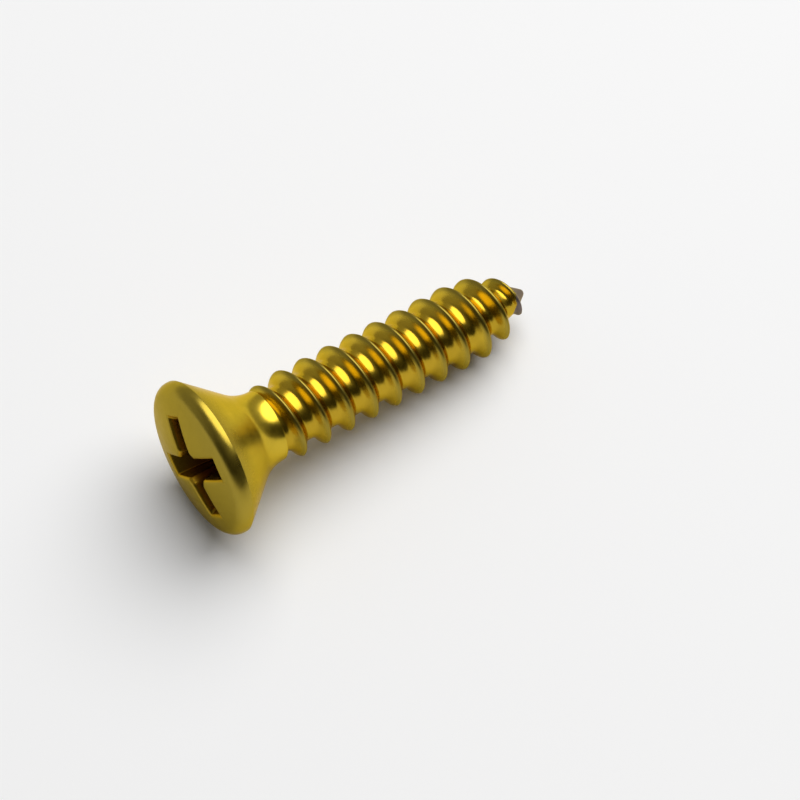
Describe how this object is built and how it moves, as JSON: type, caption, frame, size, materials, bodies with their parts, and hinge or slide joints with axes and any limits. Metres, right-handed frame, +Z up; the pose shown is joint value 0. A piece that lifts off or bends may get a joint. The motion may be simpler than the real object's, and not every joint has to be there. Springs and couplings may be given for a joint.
{
  "type": "self-tapping screw",
  "caption": "Self-tapping screw with a raised countersunk head, a cross recess, a short plain neck, a coarse right-hand thread and a gimlet point.",
  "frame": {"origin": "bottom centre of the box around the screw as it lies on a table, resting on the rim of its head and on its thread", "axes": "+X from the head towards the point, level with the table; +Z up. The screw's own axis leans 6.8 degrees down from +X towards the point, in the XZ plane"},
  "size_m": [0.0202, 0.0078, 0.0079],
  "materials": {
    "plated_metal": "satin"
  },
  "bodies": {
    "root": {"screw": "plated_metal"}
  },
  "joints": []
}
